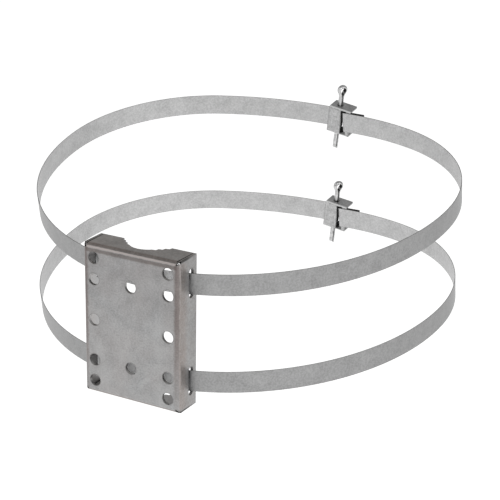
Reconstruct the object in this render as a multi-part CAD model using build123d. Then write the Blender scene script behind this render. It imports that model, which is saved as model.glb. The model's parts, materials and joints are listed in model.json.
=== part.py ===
from build123d import *

import os
from math import acos, asin, cos, degrees, radians, sin, sqrt, tan

# Pole mount bracket: a folded steel box, open at the back, that two steel
# band straps hold against a pole. Each strap is closed behind the pole by a
# small folded lock and a split pin, which winds the strap tight.
# Millimetres, +Z up, +Y towards the pole. The origin is the middle of the
# front plate's outer face, where the pattern of fixing holes is centred.

# Sheet of the bracket
plate_width = 97.0
plate_height = 138.0
bracket_depth = 28.0
sheet = 2.5
bend_inside = 1.5
seam_gap = 0.4
corner_gap = 1.1
groove_width = 1.3
groove_length = 5.0
groove_floor = 4.2
relief_size = 1.3
relief_offset = 1.3

# Fixing holes in the front plate
hole_diameter = 10.8
hole_side_margin = 11.0
hole_end_margin = 12.0
row_step = 19.5

# Toothed notch for the pole, in the top and bottom flanges
notch_width = 48.4
notch_depth = 16.4
notch_slope = 43.0
tooth_pitch = 4.4
tooth_depth = 2.1

# Strap and the slots that it passes through
strap_width = 20.5
strap_thickness = 0.6
slot_end_margin = 24.0
slot_behind_face = 20.4
slot_end_play = 6.0
slot_front_play = 1.6
slot_back_play = 0.55
strap_seat_gap = 0.3

# Plan of the strap's loop, going round from the front
right_radius = 199.0
right_shoulder_radius = 148.0
right_back_radius = 231.0
left_back_radius = 347.0
back_turn = 18.0
right_straight = 6.0

# How the two straps lie
upper_tilt = 10.0
lower_tilt = 7.95
upper_side_tilt = -0.5
lower_side_tilt = 0.8
end_miss = 3.0

# Lock, a folded channel with its back to the pole
lock_length = 24.0
lock_depth = 15.5
lock_sheet = 1.5
lock_bend_inside = 0.4
lock_strap_play = 2.75
lock_drop = 1.9
lock_slot_top_play = 0.7
lock_slot_bottom_play = 4.2
lock_slot_lean = 4.0
lock_skew = 9.5
lock_slot_start = 13.6
lock_slot_width = 6.0
lock_corner = 1.2
fold_start = 16.1
fold_slack = 0.9
strap_lock_gap = 0.3
fold_tail = 21.0

# Split pin, a half-round wire bent to an eye and two legs
pin_diameter = 5.3
pin_split = 0.8
pin_from_end = 8.4
pin_above_lock = 22.6
pin_below_lock = 20.2
pin_leg_difference = 1.5
pin_turn = -38.0
eye_inside_radius = 3.0
neck_radius = 13.0
pin_hole_gap = 0.3
wrap_gap = 0.35
wrap_layer_gap = 0.3
lead_overlap = 3.0
lead_outside_lock = 11.0

# Sizes that follow from those above
bend_outside = bend_inside + sheet
half_width = plate_width / 2
half_height = plate_height / 2
half_band = strap_thickness / 2
column_spacing = plate_width - 2 * hole_side_margin
outer_row_spacing = plate_height - 2 * hole_end_margin
inner_row_spacing = outer_row_spacing - 2 * row_step
slot_spacing = plate_height - 2 * slot_end_margin
largest_tilt = max(upper_tilt, lower_tilt)
exit_angle = degrees(asin(half_width / right_radius))
lean_reach = strap_width * sin(radians(largest_tilt)) + strap_thickness
crossing_reach = sheet * tan(radians(exit_angle))
slot_width = slot_front_play + lean_reach + crossing_reach + slot_back_play
slot_offset = (slot_front_play - slot_back_play) / 2
slot_length = strap_width + slot_end_play
slot_end_radius = slot_width / 2
front_bulge = right_radius - sqrt(right_radius ** 2 - half_width ** 2)

# Along the lock, the right-hand strap folds back round the web's right bar
fold_radius = (lock_sheet + 2 * strap_lock_gap + strap_thickness + fold_slack) / 2
right_end_y = (right_radius - front_bulge
               + right_shoulder_radius * cos(radians(back_turn))
               + right_back_radius * (1 - cos(radians(back_turn))))
right_end_x = (right_radius
               - right_shoulder_radius * (1 - sin(radians(back_turn)))
               - right_back_radius * sin(radians(back_turn)))
fold_x = right_end_x - right_straight
lock_left = fold_x - fold_radius - half_band - fold_start
lock_middle = lock_left + lock_length / 2
lock_height = strap_width + 2 * lock_strap_play + 2 * lock_sheet
web_y = right_end_y + half_band + strap_lock_gap
pin_x = lock_left + pin_from_end
pin_y = web_y + lock_depth / 2
inner_wrap_radius = pin_diameter / 2 + wrap_gap + half_band
wrap_layer = strap_thickness + wrap_layer_gap
outer_wrap_radius = inner_wrap_radius + wrap_layer
left_lead_y = pin_y - outer_wrap_radius
left_arc_end_x = lock_left - lead_outside_lock
half_miss_angle = degrees(asin(end_miss / 2 / right_end_y))


def run(length):
    """A straight step of a strap's path."""
    return (length, 0.0)


def bend(radius, turn):
    """A curved step: the turn is in degrees, and left turns are positive."""
    return (radius * radians(abs(turn)), radians(turn))


def stretch_point(stretch, share, side):
    """The point a share of the way along a stretch, moved to its left by side."""
    x, y, heading, length, turn = stretch
    if turn == 0:
        now = heading
        x += share * length * cos(heading)
        y += share * length * sin(heading)
    else:
        radius = length / turn
        now = heading + share * turn
        x += radius * (sin(now) - sin(heading))
        y -= radius * (cos(now) - cos(heading))
    return (x - side * sin(now), y + side * cos(now))


def follow(start, heading, steps):
    """Lay the steps end to end and give each its start point and heading."""
    stretches = []
    x, y = start
    now = radians(heading)
    for length, turn in steps:
        stretch = (x, y, now, length, turn)
        stretches.append(stretch)
        x, y = stretch_point(stretch, 1, 0)
        now += turn
    return stretches


def side_edges(stretches, side):
    """The edges along one face of the band."""
    edges = []
    for stretch in stretches:
        first = stretch_point(stretch, 0, side)
        last = stretch_point(stretch, 1, side)
        if stretch[4] == 0:
            edges.append(Line(first, last))
        else:
            middle = stretch_point(stretch, 0.5, side)
            edges.append(ThreePointArc(first, middle, last))
    return edges


def band(start, heading, steps):
    """A strip of strap, standing on edge along the path that the steps make."""
    stretches = follow(start, heading, steps)
    caps = []
    for stretch, share in ((stretches[0], 0), (stretches[-1], 1)):
        left = stretch_point(stretch, share, half_band)
        right = stretch_point(stretch, share, -half_band)
        caps.append(Line(left, right))
    outline = side_edges(stretches, half_band) + side_edges(stretches, -half_band) + caps
    return extrude(Face(Wire(outline)), strap_width / 2, both=True)


def right_half():
    """From the front, round the right, to the fold on the lock and its tail."""
    steps = [
        bend(right_radius, 90),
        bend(right_shoulder_radius, 90 - back_turn),
        bend(right_back_radius, back_turn),
        run(right_straight),
        bend(fold_radius, -180),
        run(fold_tail),
    ]
    return band((0, -front_bulge), 0, steps)


def left_half():
    """From the front, round the left, into the lock and wound onto the pin."""
    across = 1 - sin(radians(back_turn))
    deep = cos(radians(back_turn))
    reach_x = left_arc_end_x - left_back_radius * (1 - across)
    reach_y = left_lead_y + front_bulge - left_back_radius * (1 - deep)
    # The two radii of the left side are those that bring its end to the lock
    shoulder_radius = (reach_x + reach_y) / (across + deep)
    side_radius = reach_y - deep * shoulder_radius
    lead = lead_outside_lock + lead_overlap
    arcs = band((0, -front_bulge), 180, [
        bend(side_radius, -90),
        bend(shoulder_radius, back_turn - 90),
        bend(left_back_radius, -back_turn),
        run(lead),
    ])
    wrap = band((lock_left, left_lead_y), 0, [
        run(pin_from_end),
        bend(outer_wrap_radius, 180),
        bend(outer_wrap_radius - wrap_layer / 2, 180),
        bend(inner_wrap_radius, 180),
    ])
    return arcs + Pos(0, 0, -end_miss / 2) * in_lock_skew(wrap)


def in_lock_skew(shape):
    """Turn a shape about the lock's middle, as the slack lock hangs askew."""
    return Pos(lock_middle, 0, 0) * Rot(0, lock_skew, 0) * Pos(-lock_middle, 0, 0) * shape


def strap():
    """One strap, flat: its two ends pass each other by the miss at the lock."""
    front = Pos(0, -front_bulge, 0)
    back = Pos(0, front_bulge, 0)
    right = front * Rot(-half_miss_angle, 0, 0) * back * right_half()
    left = front * Rot(half_miss_angle, 0, 0) * back * left_half()
    return right + left


def channel(length, depth, height, wall, inside_radius):
    """A folded channel along X with its web at y = 0 and its open side at +Y."""
    outside = Pos(0, depth / 2, 0) * Box(length, depth, height)
    web_edges = outside.edges().filter_by(Axis.X).group_by(Axis.Y)[0]
    outside = fillet(web_edges, inside_radius + wall)
    inside = Pos(0, wall + depth / 2, 0) * Box(2 * length, depth, height - 2 * wall)
    web_edges = inside.edges().filter_by(Axis.X).group_by(Axis.Y)[0]
    return outside - fillet(web_edges, inside_radius)


def lock():
    """The lock: a channel with a strap slot in its web and two pin holes."""
    body = channel(lock_length, lock_depth, lock_height, lock_sheet, lock_bend_inside)
    free_corners = body.edges().filter_by(Axis.Z).group_by(Axis.Y)[-1]
    body = fillet(free_corners, lock_corner)
    slot_height = strap_width + lock_slot_top_play + lock_slot_bottom_play
    slot = Box(lock_slot_width, 4 * lock_sheet, slot_height)
    slot_x = lock_slot_start + lock_slot_width / 2 - lock_length / 2
    slot_z = lock_drop + (lock_slot_top_play - lock_slot_bottom_play) / 2
    body -= Pos(slot_x, 0, slot_z) * Rot(0, -lock_slot_lean, 0) * slot
    hole_radius = pin_diameter / 2 + pin_hole_gap
    hole = Pos(pin_from_end - lock_length / 2, lock_depth / 2, 0)
    body -= hole * Cylinder(hole_radius, 2 * lock_height)
    return in_lock_skew(Pos(lock_middle, web_y, -lock_drop) * body)


def pin_section():
    """Half of the wire's round section, with its flat side to the slit."""
    flat_edge = pin_split / 2
    cut = Pos(0, flat_edge - pin_diameter / 2) * Rectangle(2 * pin_diameter, pin_diameter)
    return Circle(pin_diameter / 2) - cut


def pin_leg(length):
    """One straight leg, hanging down from where the neck begins."""
    return extrude(pin_section(), -length)


def split_pin():
    """The pin: its eye, the two halves of its neck and its two legs."""
    flat_edge = pin_split / 2
    centres_apart = neck_radius + eye_inside_radius
    neck_centre = flat_edge + neck_radius
    neck_turn = degrees(acos(neck_centre / centres_apart))
    eye_rise = centres_apart * sin(radians(neck_turn))
    wire = pin_diameter / 2 - flat_edge
    top = lock_height / 2 - lock_drop + pin_above_lock
    neck_start = top - wire - eye_inside_radius - eye_rise
    leg_length = neck_start + lock_height / 2 + lock_drop + pin_below_lock
    neck_axis = Axis((0, neck_centre, 0), (-1, 0, 0))
    neck = revolve(pin_section(), neck_axis, neck_turn)
    ring = Pos(0, eye_inside_radius - flat_edge, 0) * pin_section()
    eye = revolve(ring, Axis.X, 180 + 2 * neck_turn)
    whole = Pos(0, 0, eye_rise) * Rot(-neck_turn, 0, 0) * eye
    whole += neck + pin_leg(leg_length)
    whole += mirror(neck + pin_leg(leg_length - pin_leg_difference), Plane.XZ)
    turned = Rot(0, 0, pin_turn) * Pos(0, 0, neck_start) * whole
    return in_lock_skew(Pos(pin_x, pin_y, 0) * turned)


def toothed_side(turn_point_x, turn_point_y):
    """The points of the notch's right-hand slope, from the back to its rounding."""
    slope = radians(notch_slope)
    back_x = notch_width / 2
    run_x = back_x - turn_point_x
    run_y = bracket_depth - turn_point_y
    teeth = int(run_x / cos(slope) / tooth_pitch)
    points = []
    for number in range(teeth):
        tip = number / teeth
        points.append((back_x - tip * run_x, bracket_depth - tip * run_y))
        root = (number + 0.5) / teeth
        root_x = back_x - root * run_x + tooth_depth * sin(slope)
        root_y = bracket_depth - root * run_y - tooth_depth * cos(slope)
        points.append((root_x, root_y))
    points.append((turn_point_x, turn_point_y))
    return points


def notch():
    """The toothed notch, as a cutter that goes through both flanges."""
    slope = radians(notch_slope)
    bottom_y = bracket_depth - notch_depth
    sharp_y = bracket_depth - notch_width / 2 * tan(slope)
    rounding = (bottom_y - sharp_y) / (1 / cos(slope) - 1)
    turn_x = rounding * sin(slope)
    turn_y = bottom_y + rounding * (1 - cos(slope))
    right = toothed_side(turn_x, turn_y)
    left = [(-x, y) for x, y in reversed(right)]
    past_back = bracket_depth + sheet
    mouth = [(-notch_width / 2, past_back), (notch_width / 2, past_back)]
    edges = [ThreePointArc(right[-1], (0, bottom_y), left[0])]
    corners = left + mouth + right
    for first, last in zip(corners, corners[1:]):
        edges.append(Line(first, last))
    return extrude(Face(Wire(edges)), plate_height, both=True)


def strap_slots():
    """The four slots in the side flanges, as cutters that go through both."""
    middle_y = slot_behind_face - crossing_reach / 2 - slot_offset
    shape = Plane.YZ * SlotOverall(slot_length, slot_width, rotation=90)
    cutter = extrude(shape, plate_width, both=True)
    slots = []
    for side in (1, -1):
        slots.append(Pos(0, middle_y, side * slot_spacing / 2) * cutter)
    return slots


def fixing_holes():
    """Where the twelve fixing holes stand on the front plate."""
    places = []
    for x in (-column_spacing / 2, column_spacing / 2):
        places.append((x, 0))
        for spacing in (inner_row_spacing, outer_row_spacing):
            places.append((x, spacing / 2))
            places.append((x, -spacing / 2))
    places.append((0, inner_row_spacing / 2))
    places.append((0, -inner_row_spacing / 2))
    return places


def corner_cuts():
    """The seam slit, the groove and the relief hole at each folded corner."""
    flange_x = half_width - sheet
    start_y = bend_outside / 2
    past_back = bracket_depth + sheet
    slit = Polygon(
        (flange_x, start_y),
        (flange_x, past_back),
        (flange_x - seam_gap, past_back),
        (flange_x - corner_gap, start_y),
        align=None,
    )
    slit = Pos(0, 0, half_height) * extrude(slit, 2 * sheet, both=True)
    corner = Plane((half_width, 0, half_height), x_dir=(1, 2, 1), z_dir=(1, -1, 1))
    groove = extrude(Rectangle(groove_length, groove_width), 2 * bend_outside)
    groove = corner.location * Pos(0, 0, -groove_floor) * groove
    hole = Box(relief_size, relief_size, 8 * bend_outside)
    hole = corner.location * Pos(relief_offset, 0, 0) * hole
    cuts = [slit, groove, hole]
    cuts += [mirror(cut, Plane.YZ) for cut in cuts]
    cuts += [mirror(cut, Plane.XY) for cut in cuts]
    return cuts


def bracket_body():
    """The folded sheet: plate, flanges, corner cuts, notch, slots and holes."""
    outside = Pos(0, bracket_depth / 2, 0) * Box(plate_width, bracket_depth, plate_height)
    outside = fillet(outside.edges().group_by(Axis.Y)[0], bend_outside)
    inside_width = plate_width - 2 * sheet
    inside_height = plate_height - 2 * sheet
    inside = Box(inside_width, bracket_depth, inside_height)
    inside = Pos(0, sheet + bracket_depth / 2, 0) * inside
    inside = fillet(inside.edges().group_by(Axis.Y)[0], bend_inside)
    body = outside - inside
    for cut in corner_cuts() + strap_slots():
        body -= cut
    body -= notch()
    for x, z in fixing_holes():
        hole = Plane((x, 0, z), z_dir=(0, -1, 0)).location
        body -= hole * Cylinder(hole_diameter / 2, 4 * sheet)
    return body


def strap_height(middle_z, tilt, side_tilt):
    """The height at which a tilted strap rests near the lower end of its slots."""
    lean = radians(tilt)
    reach = (strap_width * sin(lean) + strap_thickness + crossing_reach) / 2 + slot_offset
    seat_radius = slot_end_radius - strap_seat_gap
    end_rise = slot_end_radius - sqrt(seat_radius ** 2 - reach ** 2)
    lower_edge = strap_width / 2 * cos(lean) + half_band * sin(lean)
    drop = slot_length / 2 - end_rise - lower_edge
    return middle_z - drop + half_width * abs(sin(radians(side_tilt)))


def strap_place(middle_z, tilt, side_tilt):
    """How one strap, with its lock and pin, lies in the bracket."""
    height = strap_height(middle_z, tilt, side_tilt)
    return Pos(0, slot_behind_face, height) * Rot(0, -side_tilt, 0) * Rot(tilt, 0, 0)


def build():
    """Make every piece in its place and write one file for each."""
    os.makedirs("parts", exist_ok=True)
    pieces = {"bracket_body": bracket_body()}
    upper = strap_place(slot_spacing / 2, upper_tilt, upper_side_tilt)
    lower = strap_place(-slot_spacing / 2, lower_tilt, lower_side_tilt)
    flat = {"strap": strap(), "lock": lock(), "split_pin": split_pin()}
    for name, shape in flat.items():
        pieces["upper_" + name] = upper * shape
        pieces["lower_" + name] = lower * shape
    for name, shape in pieces.items():
        export_step(shape, "parts/" + name + ".step")
    return pieces


def pin_axis(place):
    """A point on the axis of a pin, and the axis's direction, in the whole frame."""
    line = place * in_lock_skew(Pos(pin_x, pin_y, 0) * Line((0, 0, 0), (0, 0, 1)))
    return line @ 0, line % 0


pieces = build()
for name, shape in pieces.items():
    print(name, "valid", shape.is_valid, "solids", len(shape.solids()), "volume", round(shape.volume))
print("upper pin axis", pin_axis(strap_place(slot_spacing / 2, upper_tilt, upper_side_tilt)))
print("lower pin axis", pin_axis(strap_place(-slot_spacing / 2, lower_tilt, lower_side_tilt)))
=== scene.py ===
# %% [markdown]
# # A pole mount bracket, dressed for the photograph
# The object is a shallow box folded from steel sheet. Two long steel bands run
# through its sides and round a pole, and each band is closed at the back by a
# small folded lock and a split pin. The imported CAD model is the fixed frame:
# its seven pieces have the right size and place. This script gives them their
# steel finishes, with the marks that rolling, folding and handling leave, and
# a plain studio to stand in.

# %% Load the frame
import json
import math

import bpy
from mathutils import Matrix, Vector


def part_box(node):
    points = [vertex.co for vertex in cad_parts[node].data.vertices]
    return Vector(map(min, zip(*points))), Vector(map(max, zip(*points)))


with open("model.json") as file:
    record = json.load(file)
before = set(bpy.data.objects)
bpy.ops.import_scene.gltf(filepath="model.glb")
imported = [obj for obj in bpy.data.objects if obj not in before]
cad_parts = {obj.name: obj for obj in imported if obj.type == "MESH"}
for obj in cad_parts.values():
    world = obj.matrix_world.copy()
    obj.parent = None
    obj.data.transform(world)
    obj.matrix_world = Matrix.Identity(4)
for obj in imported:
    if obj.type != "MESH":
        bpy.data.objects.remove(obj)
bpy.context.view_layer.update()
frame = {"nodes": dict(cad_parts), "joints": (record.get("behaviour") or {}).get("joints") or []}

# %% [markdown]
# ## The camera
# The photograph was taken from the right and a little above. The camera's
# place, turn and focal length were fitted to the plate's corners, its holes
# and the outlines of both bands, so the render can be laid over the photo.

# %% Place the camera
camera_azimuth = math.radians(29.24)
camera_elevation = math.radians(19.76)
camera_roll = math.radians(1.09)
camera_place = Vector((0.70211, -1.04812, 0.52500))
focal_length_pixels = 1593.32
photo_pixels = 500.0


def make_camera():
    """A camera that looks the way the photographer's did."""
    data = bpy.data.cameras.new("photo_camera")
    data.sensor_width = 36.0
    data.lens = data.sensor_width * focal_length_pixels / photo_pixels
    data.clip_start = 0.01
    data.clip_end = 100.0
    camera = bpy.data.objects.new("photo_camera", data)
    turn = Matrix.Rotation(camera_azimuth, 4, "Z")
    tip = Matrix.Rotation(math.pi / 2 - camera_elevation, 4, "X")
    roll = Matrix.Rotation(camera_roll, 4, "Z")
    camera.matrix_world = Matrix.Translation(camera_place) @ turn @ tip @ roll
    bpy.context.scene.collection.objects.link(camera)
    bpy.context.scene.camera = camera
    return camera


camera = make_camera()
print("lens", round(camera.data.lens, 2), "mm")

# %% [markdown]
# ## Helpers for node trees
# A material is a small network. These helpers keep the networks readable. The
# first three start a group, place a shared one and add a single node. The next
# ones work on masks, which are numbers from 0 to 1 over the surface: a ramp is
# a smooth step, and a strip rises and falls again. The last ones read where a
# point is and which way its surface faces.


# %% Helpers for nodes
def new_group(name, inputs, outputs):
    """An empty node group, with its inputs (label, kind, value) and its masks."""
    group = bpy.data.node_groups.new(name, "ShaderNodeTree")
    for label, kind, value in inputs:
        socket = group.interface.new_socket(label, in_out="INPUT", socket_type=kind)
        socket.default_value = value
    for label in outputs:
        group.interface.new_socket(label, in_out="OUTPUT", socket_type="NodeSocketFloat")
    start = group.nodes.new("NodeGroupInput")
    end = group.nodes.new("NodeGroupOutput")
    return group, start, end


def use_group(tree, group, **values):
    """The outputs of a shared group, placed here with its own values."""
    node = tree.nodes.new("ShaderNodeGroup")
    node.node_tree = group
    for name, value in values.items():
        node.inputs[name].default_value = value
    return node.outputs


def add(tree, kind, **values):
    """A node of that kind, with its settings and socket values."""
    node = tree.nodes.new(kind)
    for name, value in values.items():
        if hasattr(node, name):
            setattr(node, name, value)
        else:
            node.inputs[name].default_value = value
    return node


def calculate(tree, operation, first, second=0.0, clamp=False):
    """The result of a Math node on sockets or numbers."""
    node = tree.nodes.new("ShaderNodeMath")
    node.operation = operation
    node.use_clamp = clamp
    for socket, value in zip(node.inputs, (first, second)):
        if isinstance(value, (int, float)):
            socket.default_value = value
        else:
            tree.links.new(value, socket)
    return node.outputs[0]


def both(tree, first, second):
    """A mask of what is in one mask and in the other."""
    return calculate(tree, "MULTIPLY", first, second)


def either(tree, first, second):
    """A mask of what is in at least one of two masks."""
    return calculate(tree, "MAXIMUM", first, second)


def ramp(tree, value, low, high):
    """A smooth step from 0 at low to 1 at high, or down again if high is less."""
    node = tree.nodes.new("ShaderNodeMapRange")
    node.interpolation_type = "SMOOTHSTEP"
    falls = high < low
    node.inputs["From Min"].default_value = min(low, high)
    node.inputs["From Max"].default_value = max(low, high)
    node.inputs["To Min"].default_value = 1.0 if falls else 0.0
    node.inputs["To Max"].default_value = 0.0 if falls else 1.0
    tree.links.new(value, node.inputs["Value"])
    return node.outputs["Result"]


def strip(tree, value, starts, full, fades, ends):
    """A mask that rises from starts to full, and falls again from fades to ends."""
    return both(tree, ramp(tree, value, starts, full), ramp(tree, value, ends, fades))


def about_half(tree, value, contrast):
    """Spread a mask about one half by a contrast, and keep it from 0 to 1."""
    centred = calculate(tree, "SUBTRACT", value, 0.5)
    scaled = calculate(tree, "MULTIPLY", centred, contrast)
    return calculate(tree, "ADD", scaled, 0.5, clamp=True)


def read_surface(tree, kind):
    """X, Y and Z of what the surface says of each point: "Object" or "Normal"."""
    surface = add(tree, "ShaderNodeTexCoord")
    parts = add(tree, "ShaderNodeSeparateXYZ")
    tree.links.new(surface.outputs[kind], parts.inputs["Vector"])
    return parts.outputs


def place_of(tree):
    """X, Y and Z of a point's place on the model, in metres."""
    return read_surface(tree, "Object")


def facing_of(tree):
    """X, Y and Z of the way that the surface faces."""
    return read_surface(tree, "Normal")


print("helpers ready")

# %% [markdown]
# ## Effects that the steels share
# Rolled, folded and drawn steel have some things in common: fine lines along
# the way the metal was worked, soft cloudy changes of tone, and small specks.
# Each effect is one node group, and each finish gives it its own values.


# %% Worked lines and clouds
def make_worked_lines():
    """Fine streaks or grain: Stretch says how many there are along each axis."""
    inputs = [("Stretch", "NodeSocketVector", (1.0, 1.0, 1.0)),
              ("Contrast", "NodeSocketFloat", 1.0)]
    group, start, end = new_group("worked_lines", inputs, ["Mask"])
    surface = add(group, "ShaderNodeTexCoord")
    mapping = add(group, "ShaderNodeMapping")
    noise = add(group, "ShaderNodeTexNoise", Scale=1.0, Detail=4.0, Roughness=0.6)
    group.links.new(surface.outputs["Object"], mapping.inputs["Vector"])
    group.links.new(start.outputs["Stretch"], mapping.inputs["Scale"])
    group.links.new(mapping.outputs["Vector"], noise.inputs["Vector"])
    mask = about_half(group, noise.outputs["Fac"], start.outputs["Contrast"])
    group.links.new(mask, end.inputs["Mask"])
    return group


def make_clouds():
    """Soft cloudy changes of tone, as mill rollers and handling leave them."""
    inputs = [("Size", "NodeSocketFloat", 30.0), ("Contrast", "NodeSocketFloat", 1.0)]
    group, start, end = new_group("tone_clouds", inputs, ["Mask"])
    surface = add(group, "ShaderNodeTexCoord")
    noise = add(group, "ShaderNodeTexNoise", Detail=5.0, Roughness=0.6, Distortion=0.4)
    group.links.new(surface.outputs["Object"], noise.inputs["Vector"])
    group.links.new(start.outputs["Size"], noise.inputs["Scale"])
    mask = about_half(group, noise.outputs["Fac"], start.outputs["Contrast"])
    group.links.new(mask, end.inputs["Mask"])
    return group


worked_lines = make_worked_lines()
tone_clouds = make_clouds()
print("groups", worked_lines.name, tone_clouds.name)

# %% [markdown]
# Painted shade goes where little light gets in: in the slot of a lock, at the
# seams of the folded corners and where a band goes through the side, the tone
# is painted near black and dull. An ambient occlusion node finds those places.
# Edges show too: a cut edge is darker than the rolled face, and a folded one is
# rubbed. A bevel node finds them, because it turns the normal only beside an
# edge. The edge strip is partly that darker edge and partly painted shade along
# the outlines.

# %% Painted shade in crevices, and edges
# How shut in a place is where the shade starts, and where it is full
half_open, shut_in = 0.25, 0.65
# How alike the two normals are where an edge strip starts, and where it is full
hardly_turned, well_turned = 0.995, 0.90


def make_painted_crevice_shade():
    """A mask of places that are shut in, seen within Reach metres, for painted shade."""
    inputs = [("Reach", "NodeSocketFloat", 0.008), ("Depth", "NodeSocketFloat", 1.0)]
    group, start, end = new_group("painted_crevice_shade", inputs, ["Mask"])
    shade = add(group, "ShaderNodeAmbientOcclusion", samples=8)
    group.links.new(start.outputs["Reach"], shade.inputs["Distance"])
    shut = calculate(group, "SUBTRACT", 1.0, shade.outputs["AO"])
    mask = calculate(group, "MULTIPLY", ramp(group, shut, half_open, shut_in),
                     start.outputs["Depth"], clamp=True)
    group.links.new(mask, end.inputs["Mask"])
    return group


def make_edges():
    """A mask of a narrow strip beside every edge, Width metres wide."""
    inputs = [("Width", "NodeSocketFloat", 0.001)]
    group, start, end = new_group("edges", inputs, ["Mask"])
    rounded = add(group, "ShaderNodeBevel", samples=6)
    geometry = add(group, "ShaderNodeNewGeometry")
    alike = add(group, "ShaderNodeVectorMath", operation="DOT_PRODUCT")
    group.links.new(start.outputs["Width"], rounded.inputs["Radius"])
    group.links.new(rounded.outputs["Normal"], alike.inputs[0])
    group.links.new(geometry.outputs["Normal"], alike.inputs[1])
    mask = ramp(group, alike.outputs["Value"], hardly_turned, well_turned)
    group.links.new(mask, end.inputs["Mask"])
    return group


painted_crevice_shade = make_painted_crevice_shade()
edges = make_edges()
print("groups", painted_crevice_shade.name, edges.name)

# %% [markdown]
# ## Painted light and shade on the folds
# The shading of the folds is painted into the colour. Beside each side fold
# there is a painted dark warm strip of shade, and a lighter one goes round the
# fold. The top fold has a painted bright highlight line, with a painted dull
# strip of shade under it and another over it, and the bottom fold is only
# painted dark as shade. The group measures how far a point is from the middle
# of the nearest fold, round its curve, and answers with a mask for each strip
# and one for the open seams, which are painted as shade.

# %% Painted light and shade on the folds
bracket_low, bracket_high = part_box("bracket_body")
half_width = (bracket_high[0] - bracket_low[0]) / 2
half_height = (bracket_high[2] - bracket_low[2]) / 2

# Where each strip starts, is full, fades and ends, in metres from the fold's middle
side_fold_strips = {
    "Dark": (-0.0062, -0.0030, 0.0002, 0.0022),
    "Light": (0.0002, 0.0022, 0.0070, 0.0160),
}
top_fold_strips = {
    "Bright": (-0.0036, -0.0028, -0.0014, -0.0004),
    "Under": (-0.0080, -0.0060, -0.0042, -0.0032),
    "Over": (-0.0016, -0.0002, 0.0030, 0.0060),
}
bottom_fold_strips = {
    "Shaded": (-0.0028, -0.0014, -0.0006, 0.0008),
}
# The strips of the top and bottom folds waver by this share of the others
end_fold_waver = 0.4


def wavering(group, amount):
    """A small offset that changes along a strip, so that it isn't ruler straight."""
    surface = add(group, "ShaderNodeTexCoord")
    noise = add(group, "ShaderNodeTexNoise", Scale=160.0, Detail=4.0, Roughness=0.6)
    group.links.new(surface.outputs["Object"], noise.inputs["Vector"])
    centred = calculate(group, "SUBTRACT", noise.outputs["Fac"], 0.5)
    return calculate(group, "MULTIPLY", centred, amount)


def seam_mask(group, past_side, past_end, depth):
    """A mask of the open seam at each corner, painted as shade, fading towards the box's back."""
    squares = calculate(group, "ADD", calculate(group, "MULTIPLY", past_side, past_side),
                        calculate(group, "MULTIPLY", past_end, past_end))
    from_corner = calculate(group, "SQRT", squares)
    return both(group, ramp(group, from_corner, 0.0020, 0.0009),
                ramp(group, depth, 0.026, 0.010))


def make_painted_fold_light_and_shade():
    """Masks for the painted light and shade along the side, top and bottom folds, and in the
    seams.
    """
    inputs = [("Waver", "NodeSocketFloat", 0.004)]
    labels = [*side_fold_strips, *top_fold_strips, *bottom_fold_strips, "Seam"]
    group, start, end = new_group("painted_fold_light_and_shade", inputs, labels)
    place = place_of(group)
    waver = wavering(group, start.outputs["Waver"])
    past_side = calculate(group, "SUBTRACT", calculate(group, "ABSOLUTE", place["X"]), half_width)
    past_end = calculate(group, "SUBTRACT", calculate(group, "ABSOLUTE", place["Z"]), half_height)
    round_side = calculate(group, "ADD", past_side, place["Y"])
    round_side = calculate(group, "ADD", round_side, waver)
    round_end = calculate(group, "ADD", past_end, place["Y"])
    round_end = calculate(group, "ADD", round_end,
                          calculate(group, "MULTIPLY", waver, end_fold_waver))
    # The strips stop a little short of the corners, where the folds meet
    between_ends = ramp(group, past_end, -0.0008, -0.004)
    between_sides = ramp(group, past_side, -0.001, -0.005)
    at_top = both(group, between_sides, ramp(group, place["Z"], 0.0, 0.001))
    at_bottom = both(group, between_sides, ramp(group, place["Z"], 0.0, -0.001))
    masks = {"Seam": seam_mask(group, past_side, past_end, place["Y"])}
    for strips, across, where in ((side_fold_strips, round_side, between_ends),
                                  (top_fold_strips, round_end, at_top),
                                  (bottom_fold_strips, round_end, at_bottom)):
        for label, distances in strips.items():
            masks[label] = both(group, strip(group, across, *distances), where)
    fading_down = ramp(group, place["Z"], -0.11, 0.02)
    masks["Dark"] = both(group, masks["Dark"], fading_down)
    for label, mask in masks.items():
        group.links.new(mask, end.inputs[label])
    return group


painted_fold_light_and_shade = make_painted_fold_light_and_shade()
print("bracket half width", round(half_width, 4), "half height", round(half_height, 4))

# %% [markdown]
# ## Masks by place
# Two more groups tell parts of a piece apart. One finds the faces turned away
# from a middle, which are the outside of a loop. The other finds what is near
# a line, and is used for the hollows round a split pin.


# %% Outer faces and lines
def make_outer_face():
    """A mask that is 1 on faces turned away from a centre, and 0 inside."""
    inputs = [("Centre", "NodeSocketVector", (0.0, 0.0, 0.0))]
    group, start, end = new_group("outer_face", inputs, ["Mask"])
    surface = add(group, "ShaderNodeTexCoord")
    away = add(group, "ShaderNodeVectorMath", operation="SUBTRACT")
    outwards = add(group, "ShaderNodeVectorMath", operation="DOT_PRODUCT")
    group.links.new(surface.outputs["Object"], away.inputs[0])
    group.links.new(start.outputs["Centre"], away.inputs[1])
    group.links.new(away.outputs["Vector"], outwards.inputs[0])
    group.links.new(surface.outputs["Normal"], outwards.inputs[1])
    mask = ramp(group, outwards.outputs["Value"], -0.001, 0.001)
    group.links.new(mask, end.inputs["Mask"])
    return group


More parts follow.
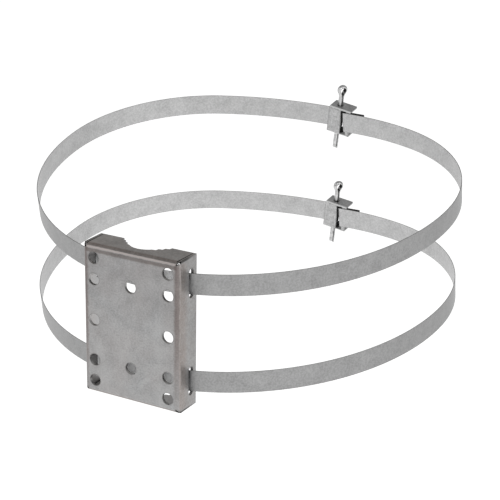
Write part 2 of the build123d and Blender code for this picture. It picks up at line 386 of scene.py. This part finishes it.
def make_near_line():
    """A mask of what is within Reach of a line, and within Length of its Point."""
    inputs = [("Point", "NodeSocketVector", (0.0, 0.0, 0.0)),
              ("Direction", "NodeSocketVector", (0.0, 0.0, 1.0)),
              ("Reach", "NodeSocketFloat", 0.005), ("Length", "NodeSocketFloat", 0.025)]
    group, start, end = new_group("near_line", inputs, ["Mask"])
    surface = add(group, "ShaderNodeTexCoord")
    away = add(group, "ShaderNodeVectorMath", operation="SUBTRACT")
    across = add(group, "ShaderNodeVectorMath", operation="CROSS_PRODUCT")
    distance = add(group, "ShaderNodeVectorMath", operation="LENGTH")
    along = add(group, "ShaderNodeVectorMath", operation="DOT_PRODUCT")
    group.links.new(surface.outputs["Object"], away.inputs[0])
    group.links.new(start.outputs["Point"], away.inputs[1])
    for node in (across, along):
        group.links.new(away.outputs["Vector"], node.inputs[0])
        group.links.new(start.outputs["Direction"], node.inputs[1])
    group.links.new(across.outputs["Vector"], distance.inputs[0])
    sideways = calculate(group, "DIVIDE", distance.outputs["Value"], start.outputs["Reach"])
    lengthways = calculate(group, "ABSOLUTE", along.outputs["Value"])
    lengthways = calculate(group, "DIVIDE", lengthways, start.outputs["Length"])
    mask = both(group, ramp(group, sideways, 1.06, 0.94), ramp(group, lengthways, 1.06, 1.0))
    group.links.new(mask, end.inputs["Mask"])
    return group


outer_face = make_outer_face()
near_line = make_near_line()
print("groups", outer_face.name, near_line.name)

# %% [markdown]
# The pins' axes are those of the frame's joints. A pin's eye sits on its axis,
# and the hole goes through it at a right angle to the pin.

# %% Axes of the pins and their eyes
# The eye's middle is this far up the pin from the joint's place, in metres,
# and its hole is turned this far from the X axis
eye_up_pin = 0.02995
eye_turn = math.radians(-37.4)
pin_axes = [(tuple(joint["pos_m"]), tuple(joint["axis"])) for joint in frame["joints"]]


def eye_axis(point, direction):
    """The middle of a pin's eye and the way of its hole, from the pin's axis."""
    along = Vector(direction)
    level = Vector((math.cos(eye_turn), math.sin(eye_turn), 0.0))
    across = (level - level.dot(along) * along).normalized()
    return tuple(Vector(point) + eye_up_pin * along), tuple(across)


eye_axes = [eye_axis(point, direction) for point, direction in pin_axes]
print("eyes at", [[round(value, 4) for value in middle] for middle, across in eye_axes])

# %% [markdown]
# ## Finishes
# Every finish starts the same way: satin metal whose tone lies between a dark
# and a light one, with gloss and a very shallow bump that follow the grain.
# Marks are then laid over the tone or tint it, and every finish ends with its
# edge strip and the painted shade of its dull dark crevices.


# %% A plain steel to start from
def grey(level):
    """A neutral colour."""
    return level, level, level, 1


# The colour and strength of the painted shade in crevices and hollows
painted_shade_tone = grey(0.012)
painted_shade_strength = 0.92
# Which sockets of a mix node are its factor and the two colours that it mixes
mix_factor, mix_below, mix_above = 0, 6, 7


def lay(tree, tone, colour, mask, strength=1.0, blend="MIX"):
    """Lay a colour over the tone, where the mask says and that strong."""
    mix = add(tree, "ShaderNodeMix", data_type="RGBA", blend_type=blend)
    if strength != 1.0:
        mask = calculate(tree, "MULTIPLY", mask, strength)
    tree.links.new(mask, mix.inputs[mix_factor])
    if isinstance(tone, tuple):
        mix.inputs[mix_below].default_value = tone
    else:
        tree.links.new(tone, mix.inputs[mix_below])
    mix.inputs[mix_above].default_value = colour
    return mix.outputs[2]


def tint(tree, tone, colour, mask, strength=1.0):
    """Multiply the tone by a colour, where the mask says and that strong."""
    return lay(tree, tone, colour, mask, strength, blend="MULTIPLY")


def start_steel(name, tones, grain, clouds, gloss, bump_depth):
    """Satin steel: its material and its tone, from dark to light with the grain.

    The grain has its stretch and contrast, the clouds their size and contrast,
    and the gloss the roughness of the dark metal and of the light.
    """
    material = bpy.data.materials.new(name)
    material.use_nodes = True
    tree = material.node_tree
    shader = tree.nodes["Principled BSDF"]
    shader.inputs["Metallic"].default_value = 1.0
    grained = use_group(tree, worked_lines, Stretch=grain[0], Contrast=grain[1])["Mask"]
    clouded = use_group(tree, tone_clouds, Size=clouds[0], Contrast=clouds[1])["Mask"]
    mottled = calculate(tree, "ADD", grained, clouded)
    mottled = calculate(tree, "MULTIPLY", mottled, 0.5)
    roughness = tree.nodes.new("ShaderNodeMapRange")
    roughness.inputs["To Min"].default_value = gloss[0]
    roughness.inputs["To Max"].default_value = gloss[1]
    bump = add(tree, "ShaderNodeBump", Strength=0.6, Distance=bump_depth)
    tree.links.new(mottled, roughness.inputs["Value"])
    tree.links.new(roughness.outputs["Result"], shader.inputs["Roughness"])
    tree.links.new(grained, bump.inputs["Height"])
    tree.links.new(bump.outputs["Normal"], shader.inputs["Normal"])
    return material, lay(tree, tones[0], tones[1], mottled)


def finish_steel(material, tone, edge, crevice_shade, shade=None):
    """Lay the edge strip and the painted shade of the crevices over the tone, and set it.

    The edge has its width, tone and strength, and the crevice shade its reach and
    depth. A shade is a mask of more places that get the same dull dark painted shade.
    """
    tree = material.node_tree
    shader = tree.nodes["Principled BSDF"]
    # The edge strip darkens cut edges, partly as their own darker colour and partly as painted
    # shade along the outlines
    strip_beside = use_group(tree, edges, Width=edge[0])["Mask"]
    tone = lay(tree, tone, edge[1], strip_beside, edge[2])
    # Painted shade: crevices and the shade masks are laid near black and made dull
    dark = use_group(tree, painted_crevice_shade, Reach=crevice_shade[0], Depth=crevice_shade[1])["Mask"]
    if shade is not None:
        dark = either(tree, dark, shade)
    tone = lay(tree, tone, painted_shade_tone, dark, painted_shade_strength)
    roughness = shader.inputs["Roughness"].links[0].from_socket
    tree.links.new(either(tree, roughness, dark), shader.inputs["Roughness"])
    tree.links.new(tone, shader.inputs["Base Color"])
    return material


print("plain steel ready")

# %% [markdown]
# The bracket is zinc-plated sheet. It is cool and mottled on the plate, with a
# faint warm tint in large patches, and it has the painted light and shade of the
# folds. Its upper half is a little darker in front, and its flanges are specked.
# Its faces turned up are painted lighter, and the inside of the box is painted in
# an even pale tone, both as painted light.

# %% Bracket finish
# How each painted highlight and shade of a fold changes the tone, its colour and its strength
painted_fold_tones = {
    "Dark": (tint, (0.56, 0.49, 0.47, 1), 0.9),
    "Light": (tint, (0.93, 0.85, 0.81, 1), 0.8),
    "Bright": (lay, (0.56, 0.515, 0.495, 1), 0.9),
    "Under": (tint, (0.62, 0.58, 0.56, 1), 1.0),
    "Over": (tint, (0.74, 0.69, 0.67, 1), 1.0),
    "Shaded": (lay, (0.27, 0.235, 0.22, 1), 0.9),
    "Seam": (lay, (0.02, 0.018, 0.017, 1), 0.85),
}


def paint_fold_light_and_shade(tree, tone):
    """The tone with the painted light and shade of the folds."""
    marks = use_group(tree, painted_fold_light_and_shade, Waver=0.004)
    for label, (change, colour, strength) in painted_fold_tones.items():
        tone = change(tree, tone, colour, marks[label], strength)
    return tone


def mark_faces(tree, tone):
    """The tone with what differs from face to face of the box, painted light included.

    The box's front is its -Y side, and its inside faces the middle line.
    """
    place = place_of(tree)
    facing = facing_of(tree)
    in_front = ramp(tree, facing["Y"], -0.6, -0.95)
    higher_up = ramp(tree, place["Z"], -0.03, 0.07)
    tone = tint(tree, tone, (0.87, 0.86, 0.86, 1), both(tree, higher_up, in_front))
    on_flanges = ramp(tree, calculate(tree, "ABSOLUTE", facing["Y"]), 0.7, 0.3)
    specks = use_group(tree, tone_clouds, Size=330.0, Contrast=6.0)["Mask"]
    tone = tint(tree, tone, (0.90, 0.88, 0.865, 1), both(tree, on_flanges, specks), 0.9)
    # Painted light: faces turned up are painted lighter
    painted_light_on_top = ramp(tree, facing["Z"], 0.6, 0.95)
    tone = tint(tree, tone, (1.16, 1.11, 1.07, 1), painted_light_on_top)
    # Painted light: the back of the plate and the inner walls are painted an even pale tone, as
    # light that gets into the box
    painted_light_behind_plate = both(tree, ramp(tree, place["Y"], 0.0015, 0.0022),
                        ramp(tree, facing["Y"], 0.5, 0.9))
    tone = lay(tree, tone, grey(0.55), painted_light_behind_plate)
    outwards = calculate(tree, "ADD", calculate(tree, "MULTIPLY", place["X"], facing["X"]),
                         calculate(tree, "MULTIPLY", place["Z"], facing["Z"]))
    painted_light_inside_walls = ramp(tree, outwards, -0.01, -0.03)
    return lay(tree, tone, grey(0.50), painted_light_inside_walls, 0.6)


def make_bracket_steel():
    """Mottled sheet with warm patches, and painted light and shade along its folds."""
    tones = (0.225, 0.227, 0.228, 1), (0.43, 0.432, 0.432, 1)
    material, tone = start_steel(
        "bracket_steel", tones, grain=((560.0, 560.0, 700.0), 3.2), clouds=(60.0, 3.0),
        gloss=(0.36, 0.52), bump_depth=0.00003)
    tree = material.node_tree
    patches = use_group(tree, tone_clouds, Size=22.0, Contrast=3.5)["Mask"]
    tone = lay(tree, tone, (0.33, 0.285, 0.27, 1), patches, 0.22)
    tone = paint_fold_light_and_shade(tree, tone)
    tone = mark_faces(tree, tone)
    return finish_steel(material, tone, edge=(0.0018, (0.10, 0.095, 0.09, 1), 0.5),
                        crevice_shade=(0.006, 1.0))


bracket_steel = make_bracket_steel()
print("finish", bracket_steel.name)

# %% [markdown]
# The band was rolled, so its two faces differ: the one inside the loop was
# rubbed bright by the rollers, and the outer one is a little darker. The
# stretch inside the box is painted paler and made less metallic, as painted
# light where the closed box shades it. The end that is wound on the pin is
# painted dark as shade, on the faces seen from the front.

# %% Band finish
loop_middle = (0.0, 0.18, 0.05)


def turned_to_front(tree):
    """A mask of faces that aren't turned to the back, where the light gets in; the painted shade
    of the hollows is laid only on these.
    """
    return ramp(tree, facing_of(tree)["Y"], 0.5, 0.1)


def make_strap_steel():
    """Finely speckled rolled band, darker on the outside of the loop."""
    material, tone = start_steel(
        "strap_steel", (grey(0.34), grey(0.56)), grain=((600.0, 600.0, 600.0), 4.4),
        clouds=(80.0, 2.4), gloss=(0.36, 0.52), bump_depth=0.00002)
    tree = material.node_tree
    place = place_of(tree)
    outside = use_group(tree, outer_face, Centre=loop_middle)["Mask"]
    tone = tint(tree, tone, grey(0.645), outside)
    beside = calculate(tree, "ABSOLUTE", place["X"])
    in_box = both(tree, ramp(tree, beside, half_width - 0.0015, half_width - 0.0085),
                  ramp(tree, place["Y"], 0.06, 0.03))
    # Painted light: the outside of the band inside the box is painted pale and less metallic,
    # standing in for light that the box keeps out
    pale = both(tree, in_box, outside)
    tone = lay(tree, tone, grey(0.96), pale)
    metal = calculate(tree, "SUBTRACT", 1.0, calculate(tree, "MULTIPLY", pale, 0.85))
    tree.links.new(metal, tree.nodes["Principled BSDF"].inputs["Metallic"])
    # Painted shade: the wound end of the band is painted dark on its faces turned to the front
    wound = [use_group(tree, near_line, Point=point, Direction=direction, Reach=0.0056)["Mask"]
             for point, direction in pin_axes]
    shade = both(tree, either(tree, *wound), turned_to_front(tree))
    return finish_steel(material, tone, edge=(0.0009, grey(0.16), 0.45),
                        crevice_shade=(0.010, 1.0), shade=shade)


strap_steel = make_strap_steel()
print("finish", strap_steel.name)

# %% [markdown]
# The lock is small pressed sheet with coarse smudges, with a painted highlight
# along its upper fold and painted shade in the hollow where the band is wound.
# The pin is drawn wire, so its grain runs along it, and the inside of its eye is
# painted dull and dark, as shade.

# %% Lock and pin finishes
# The middle of the lock is this far down the pin's axis from the joint's place
lock_below_joint = 0.0019


def lock_hollow(tree, point, direction):
    """A mask of the faces inside one lock, where painted shade goes."""
    middle = tuple(at - lock_below_joint * way for at, way in zip(point, direction))
    near = use_group(tree, near_line, Point=middle, Direction=direction,
                     Reach=0.0085, Length=0.0135)["Mask"]
    outside = use_group(tree, outer_face, Centre=middle)["Mask"]
    return both(tree, near, calculate(tree, "SUBTRACT", 1.0, outside))


def make_lock_steel():
    """Smudged pressed sheet, with a painted highlight along its upper fold."""
    material, tone = start_steel(
        "lock_steel", (grey(0.25), grey(0.56)), grain=((520.0, 520.0, 520.0), 3.2),
        clouds=(150.0, 3.0), gloss=(0.32, 0.48), bump_depth=0.00003)
    tree = material.node_tree
    # Painted highlight: faces along the upper fold are painted near white
    painted_highlight_on_fold = strip(tree, facing_of(tree)["Z"], 0.12, 0.35, 0.86, 0.96)
    tone = lay(tree, tone, grey(0.95), painted_highlight_on_fold, 0.9)
    # Painted shade: the faces inside each lock are painted dark where they are turned to the
    # front
    hollows = [lock_hollow(tree, point, direction) for point, direction in pin_axes]
    shade = both(tree, either(tree, *hollows), turned_to_front(tree))
    return finish_steel(material, tone, edge=(0.0012, grey(0.08), 0.7),
                        crevice_shade=(0.010, 0.8), shade=shade)


def make_pin_steel():
    """Drawn wire with a high shine, and painted dull dark shade inside its eye."""
    material, tone = start_steel(
        "pin_steel", (grey(0.24), grey(0.74)), grain=((700.0, 700.0, 260.0), 2.8),
        clouds=(260.0, 3.0), gloss=(0.26, 0.42), bump_depth=0.00003)
    tree = material.node_tree
    # Painted shade: the inside of each eye is painted dull and dark
    eyes = [use_group(tree, near_line, Point=middle, Direction=across,
                      Reach=0.0032, Length=0.004)["Mask"] for middle, across in eye_axes]
    return finish_steel(material, tone, edge=(0.0007, grey(0.09), 0.4),
                        crevice_shade=(0.005, 1.5), shade=either(tree, *eyes))


lock_steel = make_lock_steel()
pin_steel = make_pin_steel()
print("finishes", lock_steel.name, pin_steel.name)

# %% [markdown]
# Each piece of the frame now gets its finish.

# %% Give the pieces their finishes
finishes = {
    "bracket_body": bracket_steel,
    "upper_strap": strap_steel,
    "lower_strap": strap_steel,
    "upper_lock": lock_steel,
    "lower_lock": lock_steel,
    "upper_split_pin": pin_steel,
    "lower_split_pin": pin_steel,
}
for node, finish in finishes.items():
    mesh = frame["nodes"][node].data
    mesh.materials.clear()
    mesh.materials.append(finish)
    print(node, "has", finish.name)

# %% [markdown]
# ## The studio
# The photo shows the bracket on plain white. A wide pale floor far below
# fills the view, and large soft lights give satin metal something to reflect:
# one on each side and one behind the camera, which brightens whatever faces it.

# %% Floor and lights
floor_height = -0.45
floor_size = 30.0
light_target = (0.0, 0.18, 0.0)
# Each soft light's place, its size in metres and its power in watts
softboxes = {
    "left_softbox": ((-2.2, -1.6, 1.2), 1.6, 9.5),
    "right_softbox": ((2.6, -0.2, 0.9), 1.6, 12.0),
    "front_softbox": ((1.25, -2.1, 1.15), 1.2, 18.0),
}


def make_floor():
    """A wide pale floor below the object."""
    mesh = bpy.data.meshes.new("floor")
    half = floor_size / 2
    corners = [(-half, -half, floor_height), (half, -half, floor_height),
               (half, half, floor_height), (-half, half, floor_height)]
    mesh.from_pydata(corners, [], [(0, 1, 2, 3)])
    floor = bpy.data.objects.new("floor", mesh)
    bpy.context.scene.collection.objects.link(floor)
    material = bpy.data.materials.new("pale_floor")
    material.use_nodes = True
    shader = material.node_tree.nodes["Principled BSDF"]
    shader.inputs["Base Color"].default_value = (0.9, 0.9, 0.9, 1)
    shader.inputs["Roughness"].default_value = 0.9
    shader.inputs["Emission Color"].default_value = (1, 1, 1, 1)
    shader.inputs["Emission Strength"].default_value = 0.62
    mesh.materials.append(material)
    return floor


def make_light(name, place, size, power):
    """A large square soft light, aimed at the middle of the object."""
    data = bpy.data.lights.new(name, "AREA")
    data.size = size
    data.energy = power
    light = bpy.data.objects.new(name, data)
    light.location = place
    direction = Vector(light_target) - Vector(place)
    light.rotation_euler = direction.to_track_quat("-Z", "Y").to_euler()
    bpy.context.scene.collection.objects.link(light)
    return light


def make_world():
    """Even white light from all round."""
    world = bpy.data.worlds.new("studio")
    world.use_nodes = True
    background = world.node_tree.nodes["Background"]
    background.inputs["Color"].default_value = (1, 1, 1, 1)
    background.inputs["Strength"].default_value = 0.46
    bpy.context.scene.world = world
    return world


floor = make_floor()
for name, (place, size, power) in softboxes.items():
    light = make_light(name, place, size, power)
    print(light.name, power, "W")
world = make_world()
bpy.context.scene.view_settings.view_transform = "Standard"
print("studio ready with", floor.name, "and", world.name)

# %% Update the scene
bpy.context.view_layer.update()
